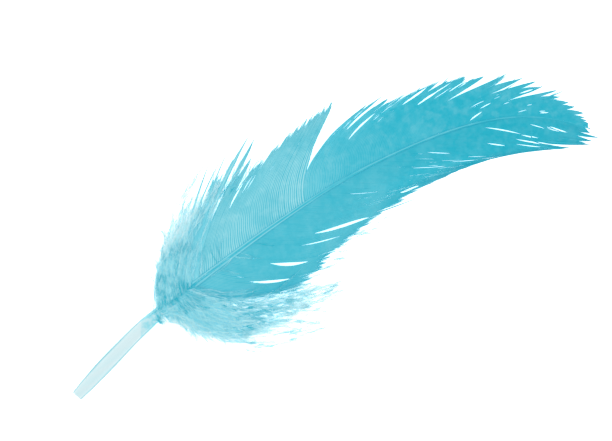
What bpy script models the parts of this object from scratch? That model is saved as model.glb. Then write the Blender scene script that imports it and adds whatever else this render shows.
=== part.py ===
"""A dyed turkey wing feather, lying on a table with its upper side up.

The feather is arched: the end of its quill, its tip and the edges of its vanes
rest on the table, and the middle of the shaft stands a few millimetres clear.
Each vane is a thin plate whose rows run as the barbs do, from the shaft to the
outer edge. The downy barbs at the base are two puffed solids.
"""

import math

import bmesh
import bpy
import numpy as np

MM = 0.001

# Driving dimensions, in millimetres and degrees. X runs along the chord from the
# quill's end to the tip, +Y is the feather's left, and the table is at Z = 0.

# Middle of the shaft: a bow to the left that turns down at the tip, and the arch.
SHAFT_LINE = [
    (0, 0.3, 1.55), (14, 5.25, 2.9), (28, 9.4, 4.2), (46, 12.8, 5.4),
    (66, 15.9, 6.0), (88, 18.0, 5.7), (108, 17.5, 4.5), (124, 15.2, 2.7),
    (136, 11.0, 1.1), (145, 5.2, 0.45), (150.4, 0.0, 0.35),
]
# Radius of the quill, which swells from its blunt end, and of the tapering rachis.
SHAFT_RADIUS = [
    (0, 1.5), (2, 1.78), (8, 2.05), (12, 2.1), (17, 1.98), (24, 1.93), (29, 1.6), (34, 1.2),
    (46, 0.95), (70, 0.65), (100, 0.42), (130, 0.27), (150.4, 0.15),
]
SHAFT_RINGS = 56
SHAFT_SIDES = 14

GAP = 0.35                # clear space between the shaft and what grows from it
VANE_THICKNESS = 0.6
EDGE_DROP = 1.4           # how late along a barb the vane bends down to the table
REST_FROM = 0.88          # the part of a barb's length beyond which it lies on the table
ATTACH_HEIGHT = 0.2       # where barbs join the shaft, as a part of its radius
PLAIN_LEAVE = 0.36        # stiffness of a barb where it leaves the shaft
PLAIN_ARRIVE = 0.40       # and where it arrives at the edge

LEFT = 1
RIGHT = -1

# Each vane or tuft of down: the stretch of shaft that it grows from, how its barbs
# crowd towards the tip, its outer edge, and its first and last barb as the angle
# from the shaft where the barb leaves and its heading from the chord at the edge.
# puff is the half thickness that loose down adds at its fullest.
PLUMES = {
    "left_down": dict(
        side=LEFT, roots=(28.8, 41.0), crowd=1.0, first=(50, 40), last=(45, 34), puff=1.5,
        edge=[(50.5, 38.0), (56, 39.5), (62, 39.2), (68.0, 38.8)]),
    "left_vane_base": dict(
        side=LEFT, roots=(41.8, 75.5), crowd=1.0, first=(45, 34), last=(82, 34), puff=0.0,
        edge=[(69.8, 37.3), (77, 36.4), (86, 36.9), (94.8, 37.3)]),
    "left_vane_tip": dict(
        side=LEFT, roots=(76.3, 148.8), crowd=1.6, first=(84, 12), last=(20, -42), puff=0.0,
        edge=[(96, 32.0), (104, 32.2), (112, 30.8), (120, 30.0), (127, 28.0),
              (134, 24.8), (141, 19.6), (147, 13.4), (150.2, 6.5), (150.8, 1.3)]),
    "right_vane": dict(
        side=RIGHT, roots=(38.2, 148.8), crowd=1.6, first=(58, -14), last=(20, -50), puff=0.0,
        edge=[(67.8, -2.4), (76, -0.4), (84, 2.4), (92, 3.8), (100, 4.8), (108, 6.2),
              (118, 5.6), (128, 4.0), (136.5, 1.2), (143.4, -2.0), (149, -2.9), (150.4, -1.3)]),
    "right_down": dict(
        side=RIGHT, roots=(28.8, 37.4), crowd=1.0, first=(98, -30), last=(60, -12), puff=1.5,
        edge=[(48, -14), (56, -17), (62, -14.5), (68, -9.5), (75.4, -6.2)]),
}
ROW_SPACING = 2.2         # of the plates' rows, along the shaft
BARB_STEPS = 12

# Colour as linear RGB, and roughness. No part is metallic.
KERATIN = ((0.68, 0.85, 0.88), 0.35)
VANE_COLOURS = {
    "left_down": ((0.26, 0.62, 0.71), 0.9),
    "left_vane_base": ((0.18, 0.57, 0.67), 0.7),
    "left_vane_tip": ((0.08, 0.49, 0.62), 0.65),
    "right_vane": ((0.10, 0.52, 0.64), 0.65),
    "right_down": ((0.30, 0.65, 0.73), 0.9),
}


def clear_scene():
    """Remove every object, so that the model is all that the file holds."""
    for thing in list(bpy.data.objects):
        bpy.data.objects.remove(thing, do_unlink=True)


def smooth_curve(points, count):
    """Catmull-Rom curve through the points, as an array of count rows."""
    knots = np.array(points, float)
    knots = np.vstack([2 * knots[0] - knots[1], knots, 2 * knots[-1] - knots[-2]])
    spans = len(knots) - 3
    rows = []
    for value in np.linspace(0, spans, count):
        i = min(int(value), spans - 1)
        t = value - i
        a, b, c, d = knots[i:i + 4]
        cubic = 3 * b - a - 3 * c + d
        square = 2 * a - 5 * b + 4 * c - d
        rows.append(0.5 * (2 * b + (c - a) * t + square * t * t + cubic * t ** 3))
    return np.array(rows)


SHAFT = smooth_curve(SHAFT_LINE, 600)


def shaft_at(x):
    """The shaft's middle, its angle from the chord and its radius where it passes x."""
    middle = np.array([np.interp(x, SHAFT[:, 0], SHAFT[:, k]) for k in range(3)])
    step = np.gradient(SHAFT, axis=0)
    angle = np.interp(x, SHAFT[:, 0], np.arctan2(step[:, 1], step[:, 0]))
    stations = np.array(SHAFT_RADIUS, float)
    return middle, angle, np.interp(x, stations[:, 0], stations[:, 1])


def heading(angle):
    """Unit vector in plan at an angle in radians from the chord."""
    return np.array([math.cos(angle), math.sin(angle)])


def barb(plume, fraction):
    """One barb in plan, as points from the shaft's side to the outer edge."""
    side = plume["side"]
    start_x, end_x = plume["roots"]
    middle, angle, radius = shaft_at(start_x + (end_x - start_x) * fraction)
    root = middle[:2] + side * heading(angle + math.pi / 2) * (radius + GAP)
    edge = smooth_curve(plume["edge"], 200)
    run = np.concatenate([[0], np.cumsum(np.linalg.norm(np.diff(edge, axis=0), axis=1))])
    place = run[-1] * (1 - (1 - fraction) ** plume["crowd"])
    end = np.array([np.interp(place, run, edge[:, k]) for k in range(2)])
    leave, arrive = np.array(plume["first"]) * (1 - fraction) + np.array(plume["last"]) * fraction
    length = np.linalg.norm(end - root)
    out = root + PLAIN_LEAVE * length * heading(angle + side * math.radians(leave))
    back = end - PLAIN_ARRIVE * length * heading(math.radians(arrive))
    t = np.linspace(0, 1, BARB_STEPS + 1)[:, None]
    plan = (1 - t) ** 3 * root + 3 * (1 - t) ** 2 * t * out + 3 * (1 - t) * t ** 2 * back + t ** 3 * end
    root_height = middle[2] + ATTACH_HEIGHT * radius
    return plan, t[:, 0], root_height


def plume_surfaces(plume):
    """Top and bottom grids of a vane or tuft, row by row along the shaft."""
    start_x, end_x = plume["roots"]
    rows = max(8, round((end_x - start_x) / ROW_SPACING))
    top, bottom = [], []
    for fraction in np.linspace(0, 1, rows + 1):
        plan, t, root_height = barb(plume, fraction)
        fullness = np.sin(math.pi * t ** 0.8) * math.sin(math.pi * (0.15 + 0.7 * fraction))
        half = VANE_THICKNESS / 2 + plume["puff"] * fullness
        height = np.maximum(root_height * (1 - (t / REST_FROM) ** EDGE_DROP), half)
        top.append(np.column_stack([plan, height + half]))
        bottom.append(np.column_stack([plan, height - half]))
    return np.array(top), np.array(bottom)


def new_object(name, bm, colour, roughness):
    """Turn a bmesh in millimetres into a named, smooth-shaded object with its material."""
    bmesh.ops.scale(bm, vec=(MM, MM, MM), verts=bm.verts)
    bmesh.ops.recalc_face_normals(bm, faces=bm.faces)
    mesh = bpy.data.meshes.new(name)
    bm.to_mesh(mesh)
    bm.free()
    mesh.shade_smooth()
    mesh.set_sharp_from_angle(angle=math.radians(40))
    material = bpy.data.materials.new(name + "_keratin")
    material.use_nodes = True
    shader = material.node_tree.nodes["Principled BSDF"]
    shader.inputs["Base Color"].default_value = (*colour, 1.0)
    shader.inputs["Roughness"].default_value = roughness
    shader.inputs["Metallic"].default_value = 0.0
    mesh.materials.append(material)
    made = bpy.data.objects.new(name, mesh)
    bpy.context.scene.collection.objects.link(made)
    return made


def make_shaft():
    """Quill and rachis: rings square to the shaft's line, closed by a cap at each end."""
    bm = bmesh.new()
    rings = []
    for x in np.linspace(SHAFT_LINE[0][0], SHAFT_LINE[-1][0], SHAFT_RINGS):
        middle, angle, radius = shaft_at(x)
        across = heading(angle + math.pi / 2)
        ring = []
        for k in range(SHAFT_SIDES):
            turn = 2 * math.pi * k / SHAFT_SIDES
            plan = middle[:2] + across * radius * math.cos(turn)
            ring.append(bm.verts.new((*plan, middle[2] + radius * math.sin(turn))))
        rings.append(ring)
    for ring, following in zip(rings, rings[1:]):
        for k in range(SHAFT_SIDES):
            n = (k + 1) % SHAFT_SIDES
            bm.faces.new((ring[k], ring[n], following[n], following[k]))
    bm.faces.new(rings[0])
    bm.faces.new(rings[-1])
    return new_object("shaft", bm, *KERATIN)


def make_plume(name, plume):
    """A closed solid between a top grid and a bottom grid, with a rim all round."""
    bm = bmesh.new()
    grids = []
    for surface in plume_surfaces(plume):
        grids.append([[bm.verts.new(point) for point in row] for row in surface])
    rows, steps = len(grids[0]), len(grids[0][0])
    for grid in grids:
        for i in range(rows - 1):
            for j in range(steps - 1):
                bm.faces.new((grid[i][j], grid[i + 1][j], grid[i + 1][j + 1], grid[i][j + 1]))
    rim = [(i, 0) for i in range(rows)]
    rim += [(rows - 1, j) for j in range(1, steps)]
    rim += [(i, steps - 1) for i in range(rows - 2, -1, -1)]
    rim += [(0, j) for j in range(steps - 2, 0, -1)]
    top, bottom = grids
    for (i, j), (k, m) in zip(rim, rim[1:] + rim[:1]):
        bm.faces.new((top[i][j], top[k][m], bottom[k][m], bottom[i][j]))
    colour, roughness = VANE_COLOURS[name]
    return new_object(name, bm, colour, roughness)


def set_on_origin(pieces):
    """Hang the pieces on an empty that puts the model's box on the origin, on the table."""
    corners = np.array([vertex.co for piece in pieces for vertex in piece.data.vertices])
    low, high = corners.min(axis=0), corners.max(axis=0)
    frame = bpy.data.objects.new("feather_frame", None)
    bpy.context.scene.collection.objects.link(frame)
    frame.location = (-(low[0] + high[0]) / 2, -(low[1] + high[1]) / 2, -low[2])
    for piece in pieces:
        piece.parent = frame
    bpy.context.view_layer.update()


clear_scene()
feather = [make_shaft()]
for plume_name, plume_shape in PLUMES.items():
    feather.append(make_plume(plume_name, plume_shape))
set_on_origin(feather)
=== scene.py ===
"""Looks of the dyed turkey wing feather: its barbs, its down, its shaft and the studio.

Lengths are in metres. The CAD solids say where everything is: the shaft's line and
thickness are read from sections of its node, and the barbs of each vane or tuft of
down run from the shaft to the rim of that plume's own solid, at its height.
"""

import math

import bpy
import numpy as np
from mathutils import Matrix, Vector
from mathutils.bvhtree import BVHTree


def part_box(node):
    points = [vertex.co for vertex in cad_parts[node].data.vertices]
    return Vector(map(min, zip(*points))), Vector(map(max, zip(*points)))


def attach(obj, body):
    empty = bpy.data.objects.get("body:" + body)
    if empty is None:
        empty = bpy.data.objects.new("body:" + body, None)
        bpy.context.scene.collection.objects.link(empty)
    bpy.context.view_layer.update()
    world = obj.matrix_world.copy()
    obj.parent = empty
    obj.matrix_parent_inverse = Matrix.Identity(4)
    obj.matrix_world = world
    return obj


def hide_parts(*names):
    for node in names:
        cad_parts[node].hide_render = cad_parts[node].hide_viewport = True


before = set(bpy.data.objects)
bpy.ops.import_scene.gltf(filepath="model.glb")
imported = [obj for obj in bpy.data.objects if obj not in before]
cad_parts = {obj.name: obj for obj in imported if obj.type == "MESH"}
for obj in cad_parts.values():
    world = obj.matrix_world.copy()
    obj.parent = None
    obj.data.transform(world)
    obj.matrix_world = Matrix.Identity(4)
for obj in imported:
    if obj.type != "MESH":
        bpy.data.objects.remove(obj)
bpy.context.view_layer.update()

MM = 0.001
LEFT, RIGHT = 1, -1

# ---- driving values

# How the barbs of each plume lie. crowd: how they bunch towards the tip, in the plume's
# lower and upper part. ends: where the outer edge begins and stops, in parts of the
# node's own box. turns: the angle at which a barb leaves the shaft, and its heading
# from the chord at the edge, in degrees, by place along the plume's stretch of shaft.
PLUMES = {
    "left_down": dict(
        side=LEFT, crowd=(1.0, 1.0), ends=((0.55, 0.95), (1.0, 0.97)),
        turns=[(0, 50, 40), (1, 45, 34)]),
    "left_vane_base": dict(
        side=LEFT, crowd=(1.0, 1.0), ends=((0.53, 1.0), (1.0, 1.0)),
        turns=[(0, 46, 34), (0.4, 68, 34), (1, 82, 34)]),
    "left_vane_tip": dict(
        side=LEFT, crowd=(1.6, 1.6), ends=((0.26, 1.0), (1.0, 0.0)),
        turns=[(0, 84, 12), (0.3, 64, 8), (0.45, 48, 4), (0.6, 30, -8), (0.8, 16, -20), (1, 6, -36)]),
    "right_vane": dict(
        side=RIGHT, crowd=(1.6, 2.1), ends=((0.26, 0.05), (1.0, 0.1)),
        turns=[(0, 58, -14), (0.15, 50, -10), (0.35, 40, -9), (0.5, 30, -12), (0.6, 23, -18),
               (0.72, 15, -28), (0.85, 8, -36), (1, 4, -42)]),
    "right_down": dict(
        side=RIGHT, crowd=(1.0, 1.0), ends=((0.4, 0.1), (1.0, 0.45)),
        turns=[(0, 98, -30), (0.6, 80, -20), (1, 60, -12)]),
}

# The look of each vane, where places run from 0 to 1 along it and parts of a barb from 0
# at the shaft to 1 at the edge.
# barbs, span: how many barbs there are, over which places.
# parting, reach: where on the barb the strands part and end, by place.
# strand, uneven, lean: how wide the strands are, how far their ends scatter, and where
# across a strand its point lies.
# fingers: broader strands at the tip, a few of which part deeply.
# shut: the end that closes up to its neighbour near the shaft, and by how much.
# drift, bow: how far the barbs bend along the vane, by place.
# slits: the boldest gaps between barbs: place, the open stretch of the barb, and width.
# short, scuffs: patches of small slits: the first and last place, the first and last
# part of the barb that their middles keep to, and how many.
# loose: strands that have come away: the first and last place, where on the barb they
# part and end, how wide they are, and how far out they swing.
# strays: thin loose strands: the first and last place, and how many.
VANES = {
    "left_down": dict(
        barbs=17, span=(0.5, 1.1), parting=[(0.5, 0.6), (0.75, 0.85), (0.9, 1.05), (1.1, 1.1)],
        strand=(0.05, 0.1), reach=[(0.5, 0.5), (0.62, 0.66), (0.75, 0.80), (0.9, 0.86), (1.1, 1.0)],
        uneven=0.08,
        loose=[(1.05, 1.08, 0.6, 1.05, 0.9 * MM, 0), (0.85, 0.8, 0.6, 1.0, 0.4 * MM, 0),
               (0.6, 0.55, 0.55, 0.95, 0.5 * MM, 0), (0.7, 0.75, 0.5, 0.95, 0.4 * MM, 0)]),
    "left_vane_base": dict(
        barbs=54, strand=(0.05, 0.12), uneven=0.03, shut=(1.0, 0.4 * MM),
        parting=[(0, 0.7), (0.1, 0.5), (0.2, 0.6), (0.3, 0.9), (0.36, 1.2), (0.8, 1.2), (1, 0.95)],
        reach=[(0, 1.05), (0.05, 1.0), (0.1, 0.78), (0.2, 0.80), (0.28, 0.83), (0.36, 0.90), (0.5, 0.98),
               (1, 1.03)],
        bow=[(0, 0), (0.45, 0), (1, 0.072)],
        slits=[(0.22, 0.4, 0.65, 0.8 * MM)], short=[(0.3, 0.45, 0.5, 0.6, 2)],
        scuffs=[(0.05, 0.6, 0.35, 0.8, 12)]),
    "left_vane_tip": dict(
        barbs=150, strand=(0.015, 0.06), uneven=0.07, lean=0.72, shut=(0.0, 0.4 * MM),
        parting=[(0, 0.86), (0.08, 0.7), (0.16, 0.88), (0.3, 0.86)],
        reach=[(0, 1.12), (0.06, 1.1), (0.1, 0.97), (0.2, 0.99), (0.4, 1.04), (0.7, 1.09), (1, 1.2)],
        fingers=dict(start=0.3, width=(0.035, 0.06), parts=(0.72, 0.85), reach=(0.96, 1.05),
                     deep=[(0.42, 0.4), (0.52, 0.55), (0.64, 0.4)]),
        bow=[(0, 0.026), (0.14, 0), (1, 0)],
        slits=[(0.08, 0.6, 0.95, 0.6 * MM), (0.14, 0.4, 0.75, 0.65 * MM), (0.25, 0.65, 0.9, 0.7 * MM),
               (0.32, 0.55, 0.75, 0.6 * MM), (0.62, 0.05, 0.25, 0.6 * MM)],
        short=[(0.2, 0.5, 0.6, 0.85, 4), (0.5, 0.9, 0.1, 0.85, 9)],
        scuffs=[(0, 0.2, 0.55, 0.9, 12), (0.15, 0.25, 0.5, 0.7, 5), (0.45, 0.6, 0.5, 0.75, 6)],
        loose=[(0.24, 0.2, 0.75, 1.0, 0.3 * MM, 0), (0.3, 0.27, 0.8, 1.05, 0.25 * MM, 0),
               (0.54, 0.52, 0.7, 0.95, 0.25 * MM, 0)],
        strays=(0.45, 0.82, 7)),
    "right_vane": dict(
        barbs=240, strand=(0.014, 0.05), uneven=0.04, lean=0.4,
        parting=[(0, 1.0), (0.2, 1.1), (0.3, 1.15), (0.4, 1.3), (0.6, 1.35)],
        reach=[(0, 0.94), (0.07, 0.95), (0.14, 0.90), (0.2, 0.89), (0.27, 0.95), (0.35, 1.0), (0.6, 1.0),
               (0.75, 1.06), (1, 1.2)],
        fingers=dict(start=0.6, width=(0.05, 0.08), parts=(0.76, 0.92), reach=(0.98, 1.1), deep=[(0.7, 0.7)]),
        drift=[(0, 0), (0.07, -0.015), (0.13, -0.025), (0.18, 0), (0.22, 0.025), (0.33, 0.01), (0.42, 0)],
        slits=[(0.06, 0.3, 0.7, 0.8 * MM), (0.12, 0.3, 0.7, 0.85 * MM), (0.18, 0.35, 0.75, 0.4 * MM),
               (0.22, 0.35, 0.75, 1.1 * MM), (0.75, 0.15, 0.5, 0.45 * MM)],
        short=[(0.25, 0.35, 0.65, 0.8, 2), (0.65, 0.9, 0.25, 0.75, 10)],
        scuffs=[(0.5, 0.6, 0.1, 0.45, 20), (0.45, 0.55, 0.4, 0.6, 6), (0.35, 0.45, 0.2, 0.35, 5),
                (0.25, 0.3, 0.3, 0.5, 6), (0.05, 0.1, 0.1, 0.3, 5), (0.5, 0.6, 0.55, 0.8, 4)],
        loose=[(0.26, 0.27, 0.75, 1.05, 0.3 * MM, 0), (0.7, 0.65, 0.7, 1.05, 0.5 * MM, 1.2 * MM),
               (0.74, 0.79, 0.75, 1.0, 0.4 * MM, 0.9 * MM), (0.79, 0.83, 0.75, 1.0, 0.35 * MM, 0.7 * MM)]),
}
# Half the open stretch of a small slit, and its width.
SHORT_SIZES = (0.05, 0.13), (0.25 * MM, 0.45 * MM)
SCUFF_SIZES = (0.04, 0.13), (0.05 * MM, 0.14 * MM)

# Linear colours of the dye.
DEEP = (0.012, 0.42, 0.55)
MIDDLE = (0.038, 0.47, 0.60)
PALE = (0.20, 0.63, 0.73)
PALEST = (0.42, 0.78, 0.84)
FAINT = (0.66, 0.775, 0.79)
DOWN_DEEP, DOWN_PALE, DOWN_PALEST = (0.02, 0.43, 0.53), (0.20, 0.575, 0.65), (0.50, 0.73, 0.77)
QUILL = (0.61, 0.77, 0.80)
# The darker cyan of the quill's painted edge shade, and of the dye stain near its end.
QUILL_EDGE_SHADE_AND_STAIN = (0.17, 0.47, 0.54)


# ---- reading the frame

def solid(node):
    """A node's corners, each once, and its triangles as corner numbers."""
    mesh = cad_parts[node].data
    places = np.empty(len(mesh.vertices) * 3, np.float32)
    mesh.vertices.foreach_get("co", places)
    mesh.calc_loop_triangles()
    corners = np.empty(len(mesh.loop_triangles) * 3, np.int32)
    mesh.loop_triangles.foreach_get("vertices", corners)
    rounded = np.round(places.reshape(-1, 3).astype(float), 7)
    shared, number = np.unique(rounded, axis=0, return_inverse=True)
    return shared, number.reshape(-1)[corners].reshape(-1, 3)


class Shaft:
    """The shaft's line and radius, from sections of its node square to X."""

    def __init__(self, sections=260, end_trim=1.3 * MM):
        places, triangles = solid("shaft")
        edges = np.unique(np.sort(triangles[:, [0, 1, 1, 2, 2, 0]].reshape(-1, 2), axis=1), axis=0)
        a, b = places[edges[:, 0]], places[edges[:, 1]]
        first, last = places[:, 0].min(), places[:, 0].max()
        rows = []
        for x in np.linspace(first + end_trim, last - end_trim, sections):
            crossing = (a[:, 0] - x) * (b[:, 0] - x) < 0
            part = (x - a[crossing, 0]) / (b[crossing, 0] - a[crossing, 0])
            cut = a[crossing] + part[:, None] * (b[crossing] - a[crossing])
            low, high = cut.min(axis=0), cut.max(axis=0)
            rows.append((x, (low[1] + high[1]) / 2, (low[2] + high[2]) / 2, (high[2] - low[2]) / 2))
        rows = np.array(rows)
        head = rows[0] - (rows[3] - rows[0]) / (rows[3, 0] - rows[0, 0]) * (rows[0, 0] - first)
        tail = rows[-1] + (rows[-1] - rows[-4]) / (rows[-1, 0] - rows[-4, 0]) * (last - rows[-1, 0])
        head[3] = rows[0, 3]
        tail[3] = rows[-1, 3]
        self.rows = np.vstack([head, rows, tail])
        self.start, self.stop = first, last
        self.length = last - first
        slope = np.gradient(self.rows[:, 1], self.rows[:, 0])
        kernel = np.ones(9) / 9
        slope = np.convolve(np.pad(slope, 4, mode="edge"), kernel, mode="valid")
        self.angle = np.arctan(slope)

    def at(self, x):
        """Middle (n, 3), angle from X and radius where the shaft passes x."""
        x = np.atleast_1d(x)
        y, z, radius = (np.interp(x, self.rows[:, 0], self.rows[:, k]) for k in (1, 2, 3))
        angle = np.interp(x, self.rows[:, 0], self.angle)
        return np.column_stack([x, y, z]), angle, radius


def rim_of(node):
    """The rim of a plume's upper face, as a loop of places."""
    places, triangles = solid(node)
    a, b, c = (places[triangles[:, k]] for k in range(3))
    upper = triangles[unit(np.cross(b - a, c - a))[:, 2] > 0.3].tolist()
    sides = {(t[k], t[(k + 1) % 3]) for t in upper for k in range(3)}
    follow = {start: stop for start, stop in sides if (stop, start) not in sides}
    loop = [min(follow)]
    while follow[loop[-1]] != loop[0] and len(loop) <= len(follow):
        loop.append(follow[loop[-1]])
    return places[loop]


def look_up(table, place):
    """A table's second column where its first passes a place."""
    return np.interp(place, *np.transpose(table))


def smoothstep(low, high, value):
    part = np.clip((value - low) / (high - low), 0, 1)
    return part * part * (3 - 2 * part)


def bilinear(grid, s, t):
    """A grid's value at s and t from 0 to 1. Past its ends it carries on straight."""
    rows, columns = grid.shape[:2]
    u = s * (rows - 1)
    v = np.maximum(t, 0) * (columns - 1)
    i = np.clip(u.astype(int), 0, rows - 2)
    j = np.minimum(v.astype(int), columns - 2)
    fu, fv = u - i, v - j
    if grid.ndim == 3:
        fu, fv = fu[..., None], fv[..., None]
    near = grid[i, j] * (1 - fv) + grid[i, j + 1] * fv
    far = grid[i + 1, j] * (1 - fv) + grid[i + 1, j + 1] * fv
    return near * (1 - fu) + far * fu


class Plume:
    """A vane or a tuft of down as a family of barbs.

    s runs from 0 to 1 along the stretch of shaft that the plume grows from, and t
    from 0 at the shaft to 1 at the outer edge, along the barb.
    """

    ROWS, COLUMNS = 181, 61
    LEAVE, ARRIVE = 0.36, 0.40      # how far a barb keeps its first and last heading
    ROOT_SIDE, ROOT_RISE = 0.75, 0.5  # where a barb enters the shaft, in parts of its radius

    def __init__(self, node, shaft, side, crowd, ends, turns):
        self.node, self.side = node, side
        self.random = np.random.default_rng(sorted(PLUMES).index(node) + 7)
        low, high = (np.array(corner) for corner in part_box(node))
        rim = rim_of(node)
        middle, angle, radius = shaft.at(rim[:, 0])
        beside = np.abs(rim[:, 1] - middle[:, 1]) * np.cos(angle) < radius + 0.7 * MM
        self.from_x, self.to_x = rim[beside, 0].min(), rim[beside, 0].max()
        edge = self._edge(rim, low, high, ends, shaft)
        run = np.concatenate([[0], np.cumsum(np.linalg.norm(np.diff(edge, axis=0), axis=1))])

        s = np.linspace(0, 1, self.ROWS)
        middle, angle, radius = shaft.at(self.from_x + (self.to_x - self.from_x) * s)
        across = np.column_stack([-np.sin(angle), np.cos(angle)]) * side
        root = middle[:, :2] + across * (radius * self.ROOT_SIDE)[:, None]
        crowding = crowd[0] + (crowd[1] - crowd[0]) * smoothstep(0.3, 0.6, s)
        place = run[-1] * (1 - (1 - s) ** crowding)
        end = np.column_stack([np.interp(place, run, edge[:, k]) for k in range(2)])
        stations = np.array(turns, float)
        leave = angle + side * np.radians(np.interp(s, stations[:, 0], stations[:, 1]))
        arrive = np.radians(np.interp(s, stations[:, 0], stations[:, 2]))
        reach = np.linalg.norm(end - root, axis=1)[:, None]
        out = root + self.LEAVE * reach * np.column_stack([np.cos(leave), np.sin(leave)])
        back = end - self.ARRIVE * reach * np.column_stack([np.cos(arrive), np.sin(arrive)])
        t = np.linspace(0, 1, self.COLUMNS)[None, :, None]
        bezier = [(1 - t) ** 3, 3 * (1 - t) ** 2 * t, 3 * (1 - t) * t ** 2, t ** 3]
        plan = sum(w * p[:, None, :] for w, p in zip(bezier, (root, out, back, end)))
        self.plan = plan
        root_height = middle[:, 2] + self.ROOT_RISE * radius
        self.low, self.high = self._heights(plan, root_height)
        step_s = np.gradient(plan, axis=0) * (self.ROWS - 1)
        step_t = np.gradient(plan, axis=1) * (self.COLUMNS - 1)
        size_t = np.linalg.norm(step_t, axis=2)
        turn = step_s[..., 0] * step_t[..., 1] - step_s[..., 1] * step_t[..., 0]
        self.gap = np.abs(turn) / size_t
        self.length = size_t.mean(axis=1)

    def _edge(self, rim, low, high, ends, shaft):
        """The outer stretch of the rim between the two ends, evenly spaced."""
        marks = []
        for part in ends:
            aim = low[:2] + (high[:2] - low[:2]) * np.array(part)
            marks.append(int(np.linalg.norm(rim[:, :2] - aim, axis=1).argmin()))
        first, last = marks
        count = len(rim)
        forward = [(first + k) % count for k in range((last - first) % count + 1)]
        backward = [(first - k) % count for k in range((first - last) % count + 1)]
        routes = []
        for route in (forward, backward):
            middle, _, _ = shaft.at(rim[route, 0])
            routes.append((np.abs(rim[route, 1] - middle[:, 1]).mean(), route))
        return rim[max(routes)[1], :2]

    def _heights(self, plan, root_height):
        """Lowest and highest height of the plume's solid over each place in the plan."""
        places, triangles = solid(self.node)
        tree = BVHTree.FromPolygons(places.tolist(), triangles.tolist())
        ceiling, floor = places[:, 2].max() + MM, places[:, 2].min() - MM
        rows, columns = plan.shape[:2]
        low, high = np.zeros((rows, columns)), np.zeros((rows, columns))
        down, up = Vector((0, 0, -1)), Vector((0, 0, 1))
        for i in range(rows):
            for j in range(columns):
                x, y = plan[i, j]
                top = tree.ray_cast(Vector((x, y, ceiling)), down)[0]
                if top is None:     # just outside the rim: look a little further in
                    guess = Vector((x, y, root_height[i] * (1 - j / (columns - 1))))
                    near = tree.find_nearest(guess)[0]
                    inward = Vector((near.x - x, near.y - y, 0)).normalized() * 0.08 * MM
                    x, y = near.x + inward.x, near.y + inward.y
                    top = tree.ray_cast(Vector((x, y, ceiling)), down)[0]
                if top is None:
                    high[i, j], low[i, j] = high[i, j - 1], low[i, j - 1]
                else:
                    high[i, j] = top.z
                    low[i, j] = tree.ray_cast(Vector((x, y, floor)), up)[0].z
        blend = smoothstep(0.0, 0.07, np.linspace(0, 1, columns))[None, :]
        low = low * blend + (root_height[:, None] - 0.2 * MM) * (1 - blend)
        high = high * blend + (root_height[:, None] + 0.2 * MM) * (1 - blend)
        passes = 90 if "vane" in self.node else 3
        return self._soften(low, passes), self._soften(high, passes)

    @staticmethod
    def _soften(grid, passes):
        """Even out the facets of the solid."""
        for _ in range(passes):
            for _ in range(2):      # down the columns, then along the rows
                wide = np.pad(grid, ((1, 1), (0, 0)), mode="edge")
                grid = (0.25 * wide[:-2] + 0.5 * grid + 0.25 * wide[2:]).T
        return grid

    def at(self, s, t, depth=0.5):
        """Places (..., 3) at s, t, and depth from 0 at the underside to 1 at the top."""
        plan = bilinear(self.plan, s, t)
        near, inside = np.clip(s, 0, 1), np.minimum(t, 1.0)
        low = bilinear(self.low, near, inside)
        high = bilinear(self.high, near, inside)
        height = low + (high - low) * depth
        return np.concatenate([plan, height[..., None]], axis=-1)


# ---- meshes from arrays

UP = np.array([0.0, 0.0, 1.0])


def unit(vectors):
    return vectors / (np.linalg.norm(vectors, axis=-1, keepdims=True) + 1e-12)


def wall_quads(rings, corners):
    """Faces between rings, as corner numbers."""
    around = np.arange(corners)
    onward = (around + 1) % corners
    levels = np.arange(rings - 1)[:, None] * corners
    above = levels + corners
    faces = np.stack([levels + around, levels + onward, above + onward, above + around], axis=-1)
    return faces.reshape(-1, 4)


def write_field(mesh, name, values):
    mesh.attributes.new(name, "FLOAT", "POINT").data.foreach_set("value", values.astype(np.float32))


def write_map(mesh, uv):
    mesh.uv_layers.new(name="OFBake").data.foreach_set("uv", uv.astype(np.float32).ravel())


def shades(along, ridge, chance):
    """The fields that the materials of barbs and down read. On barbs, ridge marks the ridge corners, where a
    highlight is painted; on down it is paleness.
    """
    return {"along": along, "ridge": ridge, "chance": chance}


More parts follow.
